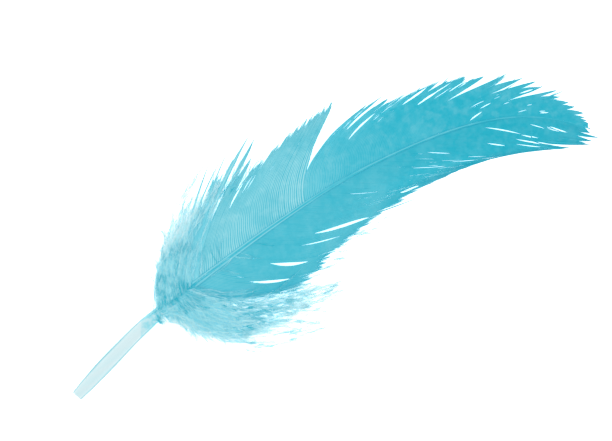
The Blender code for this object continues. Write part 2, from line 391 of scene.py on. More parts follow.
class Strands:
    """Closed, tapering strands that are joined into one mesh."""

    def __init__(self):
        self.places, self.quads, self.triangles, self.maps = [], [], [], []
        self.fields = {}
        self.count = 0

    def sweep(self, paths, offsets, fields, across=None):
        """Add one strand per path.

        paths is (n, k, 3), and each ends in a point. offsets is (n, k - 1, c, 2): the
        corners of each ring, as sideways and upward distances. fields holds values
        that broadcast to (n, k - 1, c). across says which way is sideways, where the
        strands lie in a surface that isn't level.
        """
        n, k = paths.shape[:2]
        c = offsets.shape[2]
        rings = k - 1
        along = unit(np.gradient(paths, axis=1))
        upward = unit(UP - along * along[..., 2:3])
        if across is not None:
            level = np.cross(along, upward)
            sideways = unit(across) + 0.05 * level
            sideways = unit(sideways - along * (sideways * along).sum(axis=-1, keepdims=True))
            upward = np.cross(sideways, along)
        sideways = np.cross(along, upward)
        ring = paths[:, :rings, None, :]
        ring = ring + sideways[:, :rings, None, :] * offsets[..., 0:1]
        ring = ring + upward[:, :rings, None, :] * offsets[..., 1:2]
        places = np.concatenate([ring.reshape(n, rings * c, 3), paths[:, -1:, :]], axis=1)
        size = rings * c + 1
        start = self.count + np.arange(n)[:, None] * size
        around = np.arange(c)
        onward = (around + 1) % c
        self.quads.append((start[:, :, None] + wall_quads(rings, c)[None]).reshape(-1, 4))
        last = (rings - 1) * c
        tips = np.stack([last + around, last + onward, np.full(c, rings * c)], axis=-1)
        self.triangles.append((start[:, :, None] + tips[None]).reshape(-1, 3))
        if c == 3:
            self.triangles.append((start + np.array([2, 1, 0])).reshape(-1, 3))
        else:
            self.quads.append((start + np.array([3, 2, 1, 0])).reshape(-1, 4))
        self.places.append(places.reshape(-1, 3))
        for name, value in fields.items():
            full = np.broadcast_to(value, (n, rings, c)).reshape(n, rings * c)
            end = full[:, -c:].mean(axis=1, keepdims=True)
            self.fields.setdefault(name, []).append(np.concatenate([full, end], axis=1).ravel())
        self.maps.append(self._map(n, rings, c))
        self.count += n * size

    @staticmethod
    def _map(n, rings, c):
        """A strip of the unit square for each strand, in rows of at most 200 strips."""
        columns = min(n, 200)
        rows = -(-n // columns)
        strip = np.arange(n)
        u = (strip % columns)[:, None, None] + 0.1 + 0.8 * (np.arange(c) / (c - 1))[None, None, :]
        v = (strip // columns)[:, None, None] + 0.05 + 0.85 * (np.arange(rings) / rings)[None, :, None]
        u, v = np.broadcast_arrays(u / columns, v / rows)
        strips = np.stack([u, v], axis=-1).reshape(n, rings * c, 2)
        tip = np.stack([(strip % columns + 0.5) / columns, (strip // columns + 0.95) / rows], axis=-1)
        return np.concatenate([strips, tip[:, None]], axis=1).reshape(-1, 2)

    def build(self, name, material, replaces, crease=None):
        """Make the object, put it on the frame and give it its material."""
        places = np.concatenate(self.places)
        quads, triangles = np.concatenate(self.quads), np.concatenate(self.triangles)
        corners = np.concatenate([quads.ravel(), triangles.ravel()]).astype(np.int32)
        sizes = np.concatenate([np.full(len(quads), 4), np.full(len(triangles), 3)])
        mesh = bpy.data.meshes.new(name)
        mesh.vertices.add(len(places))
        mesh.vertices.foreach_set("co", places.astype(np.float32).ravel())
        mesh.loops.add(len(corners))
        mesh.loops.foreach_set("vertex_index", corners)
        mesh.polygons.add(len(sizes))
        starts = np.concatenate([[0], np.cumsum(sizes)[:-1]]).astype(np.int32)
        mesh.polygons.foreach_set("loop_start", starts)
        mesh.update(calc_edges=True)
        for field, values in self.fields.items():
            write_field(mesh, field, np.concatenate(values))
        write_map(mesh, np.concatenate(self.maps)[corners])
        mesh.shade_smooth()
        if crease:
            mesh.set_sharp_from_angle(angle=math.radians(crease))
        place_piece(name, mesh, material, replaces)


def put(name, data):
    """Make an object of the data and link it to the scene."""
    made = bpy.data.objects.new(name, data)
    bpy.context.scene.collection.objects.link(made)
    return made


def place_piece(name, mesh, material, replaces):
    """Make a piece of the mesh, hang it on the root body, give it its material and hide the nodes that it
    replaces.
    """
    mesh.materials.append(material)
    piece = put(name, mesh)
    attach(piece, "root")
    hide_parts(*replaces)


# ---- vanes

class Parting:
    """How the barbs of a vane stick together in strands that part at the outer edge."""

    def __init__(self, random, look):
        first, last = look.get("span", (0.0, 1.0))
        fingers = look.get("fingers")
        start = fingers["start"] if fingers else last
        bounds = [first]
        while bounds[-1] < start - look["strand"][0]:
            bounds.append(bounds[-1] + random.uniform(*look["strand"]))
        bounds[-1] = start
        count = len(bounds)
        depth = look_up(look["parting"], bounds) + 0.12 - 0.4 * random.random(count) ** 2.2
        reach = look_up(look["reach"], bounds) - look["uneven"] * random.random(count) ** 1.3
        depth[-1], reach[-1] = 1.1, 1.0
        if fingers:
            places, depths, reaches = self.tip_fingers(random, last, **fingers)
            bounds, depth, reach = bounds + places, np.append(depth, depths), np.append(reach, reaches)
        self.bounds, self.depth, self.length = np.array(bounds), depth, reach
        self.lean = np.clip(look.get("lean", 0.5) + random.normal(0, 0.1, len(self.bounds)), 0.15, 0.85)
        self.pull = random.uniform(0.7, 0.92, len(self.bounds))

    @staticmethod
    def tip_fingers(random, last, start, width, parts, reach, deep):
        """Broad strands towards the tip, a few of which part deeply."""
        places = []
        while start < last - width[0]:
            start += random.uniform(*width)
            places.append(min(start, last))
        places[-1] = last
        depths = random.uniform(*parts, len(places))
        for place, depth in deep:
            depths[np.abs(np.array(places) - place).argmin()] = depth
        return places, depths, random.uniform(*reach, len(places))

    def strand(self, s):
        """The strand that a place is in, how far across it from 0 to 1, and where its point is."""
        k = np.clip(np.searchsorted(self.bounds, s, side="right") - 1, 0, len(self.bounds) - 2)
        low, high = self.bounds[k], self.bounds[k + 1]
        return k, (s - low) / (high - low), low + (high - low) * self.lean[k]

    def length_at(self, s):
        """Length of the barb there: the barbs beside a strand's point stop a little short of it."""
        k, part, _ = self.strand(s)
        aside = np.abs(part - self.lean[k]) / np.maximum(self.lean[k], 1 - self.lean[k])
        return self.length[k] * (1 - 0.07 * aside ** 1.4)

    def closing(self, s, t):
        """How far the barbs of one strand have closed up towards its point."""
        k, part, _ = self.strand(s)
        nearer = np.where(part < self.lean[k], self.depth[k], self.depth[k + 1])
        end = np.maximum(self.length[k], nearer + 0.12)
        return smoothstep(nearer, end + 0.04, t) ** 1.2 * self.pull[k]


SLIT_FALLOFF = 0.012     # how far along the vane a slit crowds the barbs beside it
SHUT_FALLOFF = 0.03      # how far along the vane the barbs close up at a split
SHUT_FADE = 0.3, 0.55    # the part of a barb over which that closing ends


def open_slits(plume, s, t, slits):
    """Shift of s that opens each slit and crowds the barbs beside it."""
    shift = np.zeros_like(t)
    for place, start, stop, width in slits:
        inside = np.clip((t - start) / (stop - start), 0, 1)
        opening = np.sin(math.pi * inside) ** 0.8 * width / 2
        reach = bilinear(plume.gap, np.full_like(t, place), np.minimum(t, 1))
        away = s - place
        shift = shift + np.sign(away) * opening / reach * np.exp(-np.abs(away) / SLIT_FALLOFF)
    return shift


def shut_split(plume, s, t, place, amount):
    """Shift of s that closes the barbs at one end of a vane up to its neighbour."""
    reach = bilinear(plume.gap, np.full_like(t, place), np.minimum(t, 1))
    near = np.exp(-np.abs(s - place) / SHUT_FALLOFF) * (1 - smoothstep(*SHUT_FADE, t))
    return (1 if place > 0.5 else -1) * amount / reach * near


def scattered(random, patches, halves, widths):
    """Slits scattered in patches."""
    slits = []
    for first, last, near, far, count in patches:
        for place in random.uniform(first, last, count):
            middle = random.uniform(near, far)
            half = random.uniform(*halves)
            slits.append((place, middle - half, middle + half, random.uniform(*widths)))
    return slits


def strays(random, first, last, count):
    """Thin strands that come away from an edge and swing out."""
    loose = []
    for place in random.uniform(first, last, count):
        stop = random.uniform(1.02, 1.08)
        loose.append((place, place - 0.015, 0.76, stop, 0.25 * MM, random.uniform(0.5, 0.7) * MM))
    return loose


NUDGE = 0.01             # the small step along a vane over which a change is measured


def bend(s, amounts, profile):
    """Shift of s that bends barbs, by amounts along the vane, and how far it spreads them."""
    shift, ahead, behind = (look_up(amounts, s + step) * profile for step in (0, NUDGE, -NUDGE))
    return shift, 1 + (ahead - behind) / (2 * NUDGE)


RING_STEPS = 58
WING = 1.5               # how far a barb's wings overlap its neighbours
LEAST_HALF = 0.045 * MM  # half the width of the narrowest barb
RIDGE = 0.11 * MM        # the most that a barb's ridge stands up
WING_RISE, WING_FALL = 0.03 * MM, 0.05 * MM     # the wing towards the tip is the upper one
CLEAR = 0.10 * MM        # the least height of a barb's middle above the table
END_MARGIN = 0.0005      # how near the ends of a vane a barb may come


def barb_rings(half, teeth, side):
    """Corners of each ring of a barb, and how far each of the four is on the ridge, where the vane's material
    paints a highlight.
    """
    ridge = np.minimum(0.45 * half, RIDGE)
    level = 0 * half
    offsets = np.stack([
        np.stack([side * half * teeth, WING_RISE + level], axis=-1),
        np.stack([level, ridge], axis=-1),
        np.stack([-side * half, -WING_FALL + level], axis=-1),
        np.stack([level, -0.6 * ridge - 0.02 * MM], axis=-1)], axis=2)
    if side > 0:
        return offsets[:, :, ::-1], np.array([0.2, 0.0, 1.0, 0.0])
    return offsets, np.array([0.0, 1.0, 0.0, 0.2])


def add_vane(strands, plume, look):
    """Every barb of a vane: a ridge with a thin wing of hooked barbules on each side."""
    random = plume.random
    n = look["barbs"]
    first, last = look.get("span", (0.0, 1.0))
    step = (last - first) / n
    parting = Parting(random, look)
    slits = look.get("slits", []) + scattered(random, look.get("short", []), *SHORT_SIZES)
    slits = slits + scattered(random, look.get("scuffs", []), *SCUFF_SIZES)
    s = first + (np.arange(n) + 0.5 + random.uniform(-0.12, 0.12, n)) * step
    tone = np.interp(np.linspace(0, 1, n), np.linspace(0, 1, n // 4 + 2), random.random(n // 4 + 2))
    chance = 0.6 * tone + 0.4 * random.random(n)
    length = parting.length_at(s) + random.uniform(-0.02, 0.01, n)
    fraction = np.linspace(0, 1, RING_STEPS) ** 0.94
    t = fraction[None, :] * length[:, None]
    still = np.broadcast_to(s[:, None], t.shape)
    sway = random.normal(0, 0.1 * step, n)[:, None] * np.sin(t * random.uniform(3, 9, n)[:, None])
    closing = parting.closing(still, t)
    moved = still + (parting.strand(still)[2] - still) * closing + sway * smoothstep(0.1, 0.6, t)
    moved = moved + open_slits(plume, moved, t, slits)
    stretch = 1.0
    if "drift" in look:
        shift, stretch = bend(still, look["drift"], smoothstep(0.2, 0.72, t))
        moved = moved + shift
    moved = np.clip(moved, first + END_MARGIN, last - END_MARGIN)
    if "shut" in look:
        ahead, behind = (
            shut_split(plume, moved + nudge, t, *look["shut"]) for nudge in (NUDGE / 2, -NUDGE / 2))
        stretch = 1 + np.abs(ahead - behind) / NUDGE
        moved = moved + shut_split(plume, moved, t, *look["shut"])
    if "bow" in look:
        shift, spread = bend(still, look["bow"], np.sin(math.pi * np.clip(t, 0, 1)))
        moved, stretch = moved + shift, stretch * spread
    lift = 0.5 + random.normal(0, 0.03, n)[:, None] * smoothstep(0.3, 1.0, t)
    paths = plume.at(moved, t, lift)
    paths[..., 2] = np.maximum(paths[..., 2], CLEAR)
    across = plume.side * (plume.at(moved + NUDGE, t, lift) - plume.at(moved - NUDGE, t, lift))
    along = unit(np.gradient(paths, axis=1))
    across = across - along * (across * along).sum(axis=-1, keepdims=True)
    spacing = np.linalg.norm(across, axis=-1) / (2 * NUDGE) * step * stretch
    half = np.maximum(spacing * 0.5 * WING * (1 - 0.5 * closing), LEAST_HALF)
    half = half * np.sqrt(np.clip(1 - fraction ** 16, 0, 1))[None, :]
    teeth = 1 + 0.16 * random.uniform(-1, 1, (n, RING_STEPS))
    offsets, crest = barb_rings(half[:, :-1], teeth[:, :-1], plume.side)
    strands.sweep(
        paths, offsets, shades(t[:, :-1, None], crest[None, None, :], chance[:, None, None]), across)


def add_loose(strands, plume, loose):
    """Narrow strands of barbs that have parted from their neighbours."""
    part = np.linspace(0, 1, RING_STEPS)
    for place, end_place, start, stop, width, swing in loose:
        s = place + (end_place - place) * part ** 1.5
        t = start + (stop - start) * part
        path = plume.at(s, t, 0.8)
        outward = unit(plume.at(s - 0.02, t, 0.8)[:, :2] - path[:, :2])
        path[:, :2] += outward * swing * part[:, None] ** 1.5
        path[:, 2] = np.maximum(path[:, 2], 0.12 * MM)
        half = 0.5 * width * smoothstep(-0.3, 0.2, part) * np.clip(1 - part ** 3, 0.12, 1)
        ring = np.stack([half, 0 * half], axis=-1)
        thick = np.stack([0 * half, 0.35 * half], axis=-1)
        offsets = np.stack([ring, thick, -ring, -thick], axis=1)[None, :-1]
        # How far each corner is on the ridge, where the vane's material paints a highlight.
        crest = np.array([0.2, 1.0, 0.2, 0.0])[None, None]
        strands.sweep(path[None], offsets, shades(t[None, :-1, None], crest, np.full((1, 1, 1), 0.6)))


# ---- fine hairs

HAIR_CLEAR = 0.05 * MM   # the least height of a hair above the table


def three_sided(thickness):
    """Corner offsets of a three-sided hair, for thickness by strand and ring."""
    corner = np.radians([90, 210, 330])
    circle = np.stack([np.cos(corner), np.sin(corner)], axis=-1)
    return circle[None, None] * (thickness / 2)[..., None, None]


def add_hairs(strands, roots, headings, lengths, thickness, fields):
    """Straight three-sided hairs that taper to a point."""
    paths = np.stack([roots, roots + headings * lengths[:, None]], axis=1)
    paths[..., 2] = np.maximum(paths[..., 2], HAIR_CLEAR)
    fields = {name: value[:, None, None] for name, value in fields.items()}
    strands.sweep(paths, three_sided(thickness[:, None]), fields)


def turned(vectors, angle):
    """Vectors turned in plan."""
    cos, sin = np.cos(angle), np.sin(angle)
    out = vectors.copy()
    out[..., 0] = vectors[..., 0] * cos - vectors[..., 1] * sin
    out[..., 1] = vectors[..., 0] * sin + vectors[..., 1] * cos
    return out


# ---- down

WISP_STEPS = 11
WISP_CLEAR = 0.08 * MM           # the least height of a downy barb above the table
LEAST_GAP = 2 * MM               # the least spacing and length that a wandering barb goes by
BARBULE_SPREAD = 3, 26           # degrees between a barbule and its barb
BARBULE_THICK = 0.028, 0.046     # in millimetres


def wisp_paths(plume, shaft, count, places, starts, limit, lengths, turning, layer, heading=0.0,
               at_shaft=0.22, crossing=(0.1, 1.2), forward=0.3):
    """Wandering downy barbs, which keep roughly to the plume's own flow.

    places holds how many barbs there are by place along the plume, and limit how far
    out they reach. at_shaft is the share that starts on the shaft, and crossing how
    far over the shaft those begin, in parts of the way to its middle. forward is how
    much those nearest the quill lean along the shaft.
    """
    random = plume.random
    stations, crowding = np.transpose(places)
    fine = np.linspace(stations[0], stations[-1], 400)
    share = np.cumsum(np.interp(fine, stations, crowding))
    s = np.interp(random.random(count) * share[-1], share, fine)
    furthest = look_up(limit, s)
    t = (starts[0] + (starts[1] - starts[0]) * random.random(count) ** 1.35) * furthest
    t = np.where(random.random(count) < at_shaft, 0.02, t)
    first = heading + random.normal(0, turning, count)
    first = first + forward * (1 - smoothstep(stations[0], stations[0] + 0.35, s))
    curl = random.normal(0, 1.1 * turning, count)
    ripple = random.normal(0, 0.9 * turning, count)
    phase = random.uniform(0, 6.3, count)
    depth = np.clip(layer + random.normal(0, 0.3, count), 0.0, 1.1)
    room = (furthest * random.uniform(0.55, 1.4, count) ** 1.2 - t) * plume.length.mean()
    length = np.clip(random.uniform(*lengths, count) * MM, LEAST_GAP, np.maximum(room, LEAST_GAP))
    step = length / (WISP_STEPS - 1)
    tone = random.random(count)
    places_s, places_t = [s], [t]
    for k in range(1, WISP_STEPS):
        part = k / (WISP_STEPS - 1)
        angle = first + curl * part + ripple * np.sin(phase + 6 * part)
        inside = np.clip(s, 0, 1)
        gap = np.maximum(bilinear(plume.gap, inside, np.minimum(t, 1)), LEAST_GAP)
        reach = np.interp(inside, np.linspace(0, 1, len(plume.length)), plume.length)
        s = s + step * np.sin(angle) / gap
        t = t + step * np.cos(angle) / reach
        places_s.append(s)
        places_t.append(t)
    s, t = np.array(places_s).T, np.array(places_t).T
    paths = plume.at(s, np.maximum(t, 0), np.broadcast_to(depth[:, None], s.shape))
    middle, _, radius = shaft.at(paths[:, 0, 0])
    inward = middle - paths[:, 0]
    inward[:, 2] = np.maximum(middle[:, 2] + radius * 1.03 - paths[:, 0, 2], 0)
    beside = (1 - smoothstep(0.03, 0.06, t[:, 0]))[:, None]
    over = beside * (1 - smoothstep(0.0, 0.25, t))
    paths[..., :2] += inward[:, None, :2] * (over * random.uniform(*crossing, count)[:, None])[..., None]
    paths[..., 2] += inward[:, None, 2] * over
    paths[..., 2] = np.maximum(paths[..., 2], WISP_CLEAR)
    return paths, t / furthest[:, None], tone


def add_wisps(strands, plume, shaft, barbules, width, paleness, **how):
    """Downy barbs with fine barbules swept along both sides."""
    random = plume.random
    paths, t, tone = wisp_paths(plume, shaft, **how)
    n, k = t.shape
    fraction = np.linspace(0, 1, k)
    thick = np.broadcast_to(0.06 * (1 - 0.6 * fraction[:-1]) * MM, (n, k - 1))
    pale = np.full((1, 1, 1), paleness)
    strands.sweep(paths, three_sided(thick), shades(t[:, :-1, None], pale, tone[:, None, None]))
    which = random.integers(0, n, barbules)
    place = random.random(barbules)
    u = place * (k - 1)
    i = np.minimum(u.astype(int), k - 2)
    f = (u - i)[:, None]
    roots = paths[which, i] * (1 - f) + paths[which, i + 1] * f
    along = unit(paths[which, i + 1] - paths[which, i])
    spread = np.radians(random.uniform(*BARBULE_SPREAD, barbules)) * random.choice([-1.0, 1.0], barbules)
    headings = turned(along, spread)
    headings[:, 2] += random.normal(0, 0.08, barbules)
    lengths = random.uniform(0.5, 1.0, barbules) * width * (1 - 0.5 * place) * MM
    thickness = random.uniform(*BARBULE_THICK, barbules) * MM
    chance = np.clip(tone[which] + random.normal(0, 0.08, barbules), 0, 1)
    add_hairs(strands, roots, unit(headings), lengths, thickness,
              shades(t[which, i], np.full(barbules, paleness), chance))


# ---- shaft

GROOVE_FROM, GROOVE_FULL = 0.19, 0.25       # along the shaft, in parts of its length
GROOVE_FADE, GROOVE_END = 0.44, 0.62


def make_shaft(shaft, material):
    """A blunt round quill that flattens into a rachis with a groove along its top."""
    rings, corners = 300, 36
    part = np.linspace(0, 1, rings)
    x = shaft.start + shaft.length * part
    middle, angle, radius = shaft.at(x)
    from_end = x - shaft.start
    blunt = np.sqrt(np.clip(1 - (1 - np.clip(from_end / (0.5 * MM), 0, 1)) ** 2, 0, 1))
    radius = radius * (0.9 + 0.1 * blunt)
    theta = np.linspace(0, 2 * math.pi, corners, endpoint=False)
    cos, sin = np.cos(theta), np.sin(theta)
    boxy = smoothstep(0.17, 0.26, part)[:, None]
    square = (np.abs(cos) ** 3.2 + np.abs(sin) ** 3.2) ** (-1 / 3.2)
    shape = (1 - boxy) + square[None, :] * 0.93 * boxy
    grooved = smoothstep(GROOVE_FROM, GROOVE_FULL, part) * (1 - smoothstep(GROOVE_FADE, GROOVE_END, part))
    off_top = (theta - math.pi / 2 + math.pi) % (2 * math.pi) - math.pi
    dip = np.exp(-(off_top / 0.42) ** 2)
    under = np.exp(-(np.abs(off_top) - math.pi) ** 2 / 0.3)
    shape = shape * (1 - 0.24 * grooved[:, None] * dip[None, :])
    shape = shape * (1 - 0.10 * boxy * under[None, :])
    ripple = 0.012 * np.sin(part * 61)[:, None] * np.sin(3 * theta + part[:, None] * 9)
    shape = shape + ripple * (1 - boxy)
    across = np.column_stack([-np.sin(angle), np.cos(angle), np.zeros(rings)])
    places = middle[:, None, :] + across[:, None, :] * (radius[:, None] * shape * cos)[..., None]
    places = places + UP * (radius[:, None] * shape * sin)[..., None]
    places[..., 2] = np.maximum(places[..., 2], 0.0)
    # Painted highlights for the ridge field: a pale line along each edge of the groove, and further on a
    # narrow line just off the top of the rachis.
    painted_crown_highlights = np.exp(-((np.abs(off_top) - 0.62) / 0.24) ** 2)
    painted_side_highlight = 0.6 * np.exp(-((off_top + 0.2) / 0.24) ** 2)
    line = painted_crown_highlights[None, :] * grooved[:, None]
    fine = smoothstep(0.56, 0.64, part) * (1 - smoothstep(0.79, 0.86, part))
    line = np.maximum(line, painted_side_highlight[None, :] * fine[:, None])
    hollow = middle[0] + np.array([0.35 * MM, 0.1 * MM, 0])
    tip = middle[-1] + np.array([0.05 * MM, 0, 0])
    count, last = rings * corners, (rings - 1) * corners
    faces = wall_quads(rings, corners).tolist()
    for k in range(corners):
        n = (k + 1) % corners
        faces += [(n, k, count), (last + k, last + n, count + 1)]
    mesh = bpy.data.meshes.new("feather_shaft")
    mesh.from_pydata(np.vstack([places.reshape(-1, 3), hollow, tip]).tolist(), [], [f[::-1] for f in faces])
    fields = {"along": np.repeat(part, corners), "ridge": line.ravel(), "turn": np.tile(cos, rings)}
    for name, values in fields.items():
        write_field(mesh, name, np.concatenate([values, [values[0], values[-1]]]))
    v = np.empty(len(mesh.loops), np.int32)
    mesh.loops.foreach_get("vertex_index", v)
    uv = np.column_stack([v // corners / rings, 0.05 + 0.9 * (v % corners) / corners])
    uv[v == count] = 0.0, 0.5
    uv[v == count + 1] = 1.0, 0.5
    write_map(mesh, uv)
    mesh.shade_smooth()
    place_piece("feather_shaft", mesh, material, ["shaft"])


# ---- materials

class Tree:
    """A material's node tree, with short calls for the nodes that it needs."""

    def __init__(self, name, roughness):
        self.material = bpy.data.materials.new(name)
        self.material.use_nodes = True
        self.nodes, self.links = self.material.node_tree.nodes, self.material.node_tree.links
        self.shader = self.nodes["Principled BSDF"]
        self.shader.inputs["Roughness"].default_value = roughness

    def set(self, node, socket, value):
        target = node.inputs[socket]
        if isinstance(value, bpy.types.NodeSocket):
            self.links.new(value, target)
        elif isinstance(value, tuple) and len(value) == 3 and target.type == "RGBA":
            target.default_value = (*value, 1.0)
        else:
            target.default_value = value

    def node(self, kind, inputs, output=0, **settings):
        """Add a node, fill its inputs and give one of its outputs."""
        node = self.nodes.new("ShaderNode" + kind)
        for name, value in settings.items():
            setattr(node, name, value)
        for socket, value in inputs.items():
            self.set(node, socket, value)
        return node.outputs[output]

    def attribute(self, name):
        return self.node("Attribute", {}, "Fac", attribute_name=name)

    def position(self):
        """Object coordinates, which are the part's own."""
        return self.node("TexCoord", {}, "Object")

    def noise(self, vector, scale, detail):
        return self.node("TexNoise", {"Vector": vector, "Scale": scale, "Detail": detail}, "Fac")

    def math(self, operation, a, b=0.0):
        return self.node("Math", {0: a, 1: b}, operation=operation)

    def between(self, value, low, high, to_low=0.0, to_high=1.0):
        """A smooth step from to_low at low to to_high at high."""
        inputs = {"Value": value, "From Min": low, "From Max": high, "To Min": to_low, "To Max": to_high}
        return self.node("MapRange", inputs, "Result", interpolation_type="SMOOTHSTEP")

    def mix(self, factor, a, b):
        return self.node("Mix", {0: factor, 6: a, 7: b}, 2, data_type="RGBA")

    def layers(self, colour, *coats):
        """A colour with others laid over it, each by its own amount."""
        for amount, coat in coats:
            colour = self.mix(amount, colour, coat)
        return colour

    def finish(self, colour, painted_glow, specular, height=None):
        """Colour the surface. The glow is painted light: the surface gives off its own colour as a fill,
        standing in for light that comes through it from below and lifting its shade.
        """
        self.set(self.shader, "Base Color", colour)
        self.set(self.shader, "Emission Color", colour)
        self.set(self.shader, "Emission Strength", painted_glow)
        self.set(self.shader, "Specular IOR Level", specular)
        if height:
            bump = self.node("Bump", {"Strength": 0.2, "Distance": 0.1 * MM, "Height": height}, "Normal")
            self.set(self.shader, "Normal", bump)
        return self.material


def vane_material(name, shaft, paleness, ridge_highlight, mottling, painted_glow=0.16):
    """Dyed barbs: pale towards the quill and deep at the tip, with a painted highlight along each ridge and a
    painted glow that lifts their shade.
    """
    tree = Tree(name, 0.55)
    place = tree.position()
    x = tree.node("SeparateXYZ", {0: place}, "X")
    reach = tree.between(x, shaft.start + 0.25 * shaft.length, shaft.stop, 0.0, 1.0)
    along, ridge, chance = (tree.attribute(word) for word in ("along", "ridge", "chance"))
    cloud = tree.noise(place, 90.0, 4.0)
    patches = tree.noise(place, 420.0, 3.0)
    streak = tree.noise(place, 600.0, 2.0)
    pale = tree.math("MULTIPLY", tree.between(reach, 0.0, 0.75, 1.0, 0.0), paleness)
    pale = tree.math("ADD", pale, tree.between(cloud, 0.5, 0.75, 0.0, 0.18))
    # Painted highlight: the ridge corners of the barbs are lightened towards the palest dye, more in some
    # cloud patches and less towards the tip.
    lit = tree.between(cloud, 0.38, 0.6, 0.35 * ridge_highlight, ridge_highlight)
    painted_ridge_highlight = tree.math("MULTIPLY", tree.between(ridge, 0.5, 1.0), lit)
    painted_ridge_highlight = tree.math("MULTIPLY", painted_ridge_highlight, tree.between(reach, 0.3, 0.75, 1.0, 0.15))
    colour = tree.layers(
        MIDDLE, (reach, DEEP), (pale, PALE), (tree.between(patches, 0.48, 0.7, 0.0, mottling), PALEST),
        (tree.between(along, 0.5, 1.0, 0.0, 0.25 * paleness), PALEST),
        (tree.between(chance, 0.0, 1.0, 0.0, 0.3), DEEP), (painted_ridge_highlight, PALEST),
        (tree.between(streak, 0.35, 0.7, 0.0, 0.12), PALE))
    return tree.finish(colour, painted_glow, 0.12, streak)


def down_material():
    """Down: pale dye that thins out towards the tips of the barbs."""
    tree = Tree("downy_barbs", 0.85)
    place = tree.position()
    along, chance, pale = (tree.attribute(word) for word in ("along", "chance", "ridge"))
    cloud = tree.math("ADD", tree.noise(place, 120.0, 3.0), tree.noise(place, 260.0, 2.0))
    colour = tree.mix(tree.between(cloud, 0.88, 1.12), DOWN_DEEP, DOWN_PALE)
    colour = tree.mix(tree.math("MULTIPLY", tree.between(chance, 0.1, 1.0), pale), colour, DOWN_PALEST)
    colour = tree.mix(tree.between(along, 0.6, 1.1, 0.0, 0.85), colour, FAINT)
    # Painted glow: the down gives off its own colour, a fill that lifts the shade among its piled fibres.
    return tree.finish(colour, 0.48, 0.1)


def shaft_material():
    """Keratin: a pale, clear quill with painted shade along its flanks, a mottled throat where the down
    starts, and a dyed rachis with painted highlight lines, all with a painted glow.
    """
    tree = Tree("quill_keratin", 0.32)
    place = tree.position()
    along, ridge, turn = (tree.attribute(word) for word in ("along", "ridge", "turn"))
    grain = tree.noise(place, 320.0, 3.0)
    lengthwise = tree.node("Mapping", {"Vector": place, "Scale": (60.0, 900.0, 900.0)}, "Vector")
    streaks = tree.noise(lengthwise, 1.0, 3.0)
    blotch = tree.noise(place, 700.0, 4.0)
    quill = tree.mix(tree.between(streaks, 0.4, 0.7, 0.0, 0.18), QUILL, PALEST)
    # Painted shade: both flanks of the quill are darkened towards its darker cyan, standing in for the clear
    # walls looking darker where they are seen edge-on.
    rim = tree.between(tree.math("ABSOLUTE", turn), 0.68, 0.95)
    quill = tree.mix(tree.math("MULTIPLY", rim, 0.8), quill, QUILL_EDGE_SHADE_AND_STAIN)
    worn = tree.math("MULTIPLY", tree.between(turn, 0.6, 0.9), tree.between(along, 0.02, 0.06))
    worn = tree.math("MULTIPLY", worn, tree.between(along, 0.09, 0.14, 1.0, 0.0))
    quill = tree.mix(tree.math("MULTIPLY", worn, 0.6), quill, QUILL_EDGE_SHADE_AND_STAIN)
    shifted = tree.math("ADD", along, tree.math("MULTIPLY", turn, -0.012))
    mottled = tree.between(blotch, 0.38, 0.6, 0.35, 1.0)
    throat = tree.math("MULTIPLY", tree.between(shifted, 0.150, 0.156), mottled)
    quill = tree.mix(tree.math("MULTIPLY", throat, 0.8), quill, PALE)
    dyed = tree.between(tree.math("ADD", along, tree.between(blotch, 0.3, 0.7, -0.01, 0.01)), 0.195, 0.215)
    # The rachis is dyed; the ridge field lays painted highlight lines along it in the palest dye.
    rachis = tree.layers(
        MIDDLE, (tree.between(along, 0.2, 0.75), DEEP), (tree.between(along, 0.4, 0.6, 0.0, 0.12), PALE),
        (tree.math("MULTIPLY", ridge, 0.5), PALEST), (tree.between(grain, 0.4, 0.7, 0.0, 0.2), PALE))
    colour = tree.mix(dyed, quill, rachis)
    # Painted glow: the shaft gives off some of its own colour, lifting the shade in its groove.
    return tree.finish(colour, 0.15, 0.12, streaks)


# ---- studio

CHORD_TILT = 27.5            # the chord's angle above the horizontal in the view
VIEW_WIDTH_IN_CHORDS = 1.058
AIM_ALONG, AIM_ACROSS = 0.491, 0.0862
CAMERA_DISTANCE = 1.5
SENSOR = 36.0
FLOOR_HALF, FLOOR_GREY, FLOOR_GLOW = 3.0, 0.9, 0.95
SURROUND = 0.74
LIGHT_AT, LIGHT_SIZE, LIGHT_POWER = (-0.06, 0.08, 0.94), 0.6, 2.0


def make_camera(shaft):
    """Straight above the feather, with its chord rising to the right."""
    quill, tip = shaft.at(shaft.start)[0][0][:2], shaft.at(shaft.stop)[0][0][:2]
    chord = tip - quill
    reach = np.linalg.norm(chord)
    left = np.array([-chord[1], chord[0]])
    aim = quill + AIM_ALONG * chord + AIM_ACROSS * left
    camera = bpy.data.cameras.new("camera")
    camera.sensor_width = SENSOR
    camera.lens = SENSOR * CAMERA_DISTANCE / (VIEW_WIDTH_IN_CHORDS * reach)
    camera.clip_start, camera.clip_end = 0.1, 20.0
    mount = put("camera", camera)
    mount.location = (aim[0], aim[1], CAMERA_DISTANCE)
    mount.rotation_euler = (0, 0, math.atan2(chord[1], chord[0]) - math.radians(CHORD_TILT))
    bpy.context.scene.camera = mount


